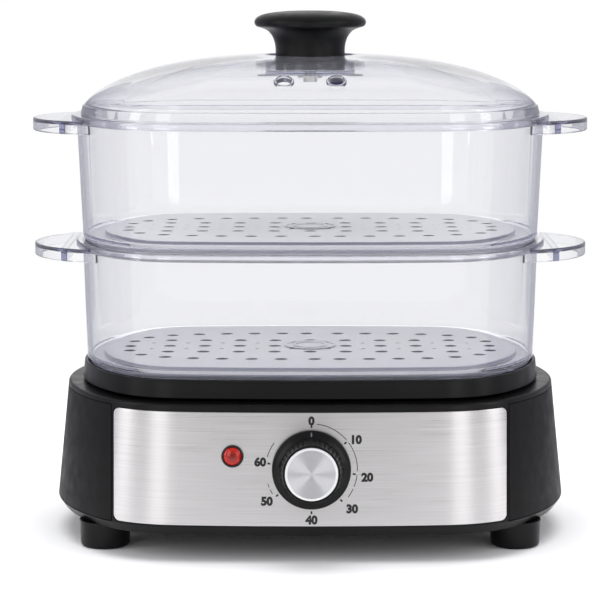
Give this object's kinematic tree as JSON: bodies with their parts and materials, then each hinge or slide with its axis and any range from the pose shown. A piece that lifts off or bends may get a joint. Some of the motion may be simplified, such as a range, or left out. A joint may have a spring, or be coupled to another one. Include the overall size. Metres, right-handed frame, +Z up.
{
  "type": "electric food steamer",
  "caption": "Electric food steamer: base with timer dial and lamp, drip tray, stacked clear baskets with side handles, and a domed lid with a knob.",
  "frame": {"origin": "on the table under the middle of the base", "axes": "+X to the right of someone who stands in front of it, +Y from front to back, +Z up"},
  "size_m": [0.3172, 0.2274, 0.2976],
  "materials": {
    "black_plastic": "satin",
    "matt_black_plastic": "matt",
    "brushed_steel": "brushed",
    "spun_aluminium": "spun",
    "clear_plastic": "clear moulded",
    "red_lens_plastic": "gloss",
    "basin_plastic": "moulded",
    "cast_aluminium": "cast and turned",
    "element_steel": "heat tinted",
    "zinc_plated_steel": "zinc plated",
    "silicone_rubber": "moulded",
    "gland_rubber": "moulded",
    "phenolic_plastic": "moulded",
    "bulb_glass": "clear"
  },
  "bodies": {
    "base": {"base_housing": "black_plastic", "side_cheek_left": "matt_black_plastic", "side_cheek_right": "matt_black_plastic", "front_panel": "brushed_steel", "bottom_cover": "black_plastic", "foot_front_left": "black_plastic", "foot_front_right": "black_plastic", "foot_rear_left": "black_plastic", "foot_rear_right": "black_plastic", "foot_screws": "zinc_plated_steel", "cover_screws": "zinc_plated_steel", "water_reservoir": "basin_plastic", "heater_plate": "cast_aluminium", "heater_gasket": "silicone_rubber", "heater_element": "element_steel", "heater_clamp": "zinc_plated_steel", "heater_screws": "zinc_plated_steel", "thermostat": "phenolic_plastic", "thermal_fuse": "zinc_plated_steel", "timer_case": "phenolic_plastic", "timer_bell": "zinc_plated_steel", "timer_screws": "zinc_plated_steel", "lamp_lens": "red_lens_plastic", "lamp_bezel": "black_plastic", "lamp_bulb": "bulb_glass", "lamp_clip": "zinc_plated_steel", "cord_gland": "gland_rubber", "terminal_block": "phenolic_plastic"},
    "dial": {"timer_shaft": "zinc_plated_steel", "timer_knob": "black_plastic", "knob_cap": "spun_aluminium"},
    "drip_tray": {"drip_tray": "black_plastic"},
    "lower_basket": {"lower_basket": "clear_plastic"},
    "upper_basket": {"upper_basket": "clear_plastic"},
    "lid": {"lid": "clear_plastic", "lid_knob": "black_plastic", "lid_knob_screw": "zinc_plated_steel", "lid_knob_washer": "zinc_plated_steel"}
  },
  "joints": [
    {"name": "timer_turn", "type": "hinge", "parent": "base", "child": "dial", "pos_m": [0.0007, -0.0993, 0.052], "axis": [-0.0008, 0.9947, -0.1024], "range_deg": [0, 280]},
    {"name": "drip_tray_lift", "type": "slide", "parent": "base", "child": "drip_tray", "axis": [0, 0, 1], "range_m": [0, 0.04]},
    {"name": "lower_basket_lift", "type": "slide", "parent": "drip_tray", "child": "lower_basket", "axis": [0, 0, 1], "range_m": [0, 0.06]},
    {"name": "upper_basket_lift", "type": "slide", "parent": "lower_basket", "child": "upper_basket", "axis": [0, 0, 1], "range_m": [0, 0.06]},
    {"name": "lid_lift", "type": "slide", "parent": "upper_basket", "child": "lid", "axis": [0, 0, 1], "range_m": [0, 0.06]}
  ]
}
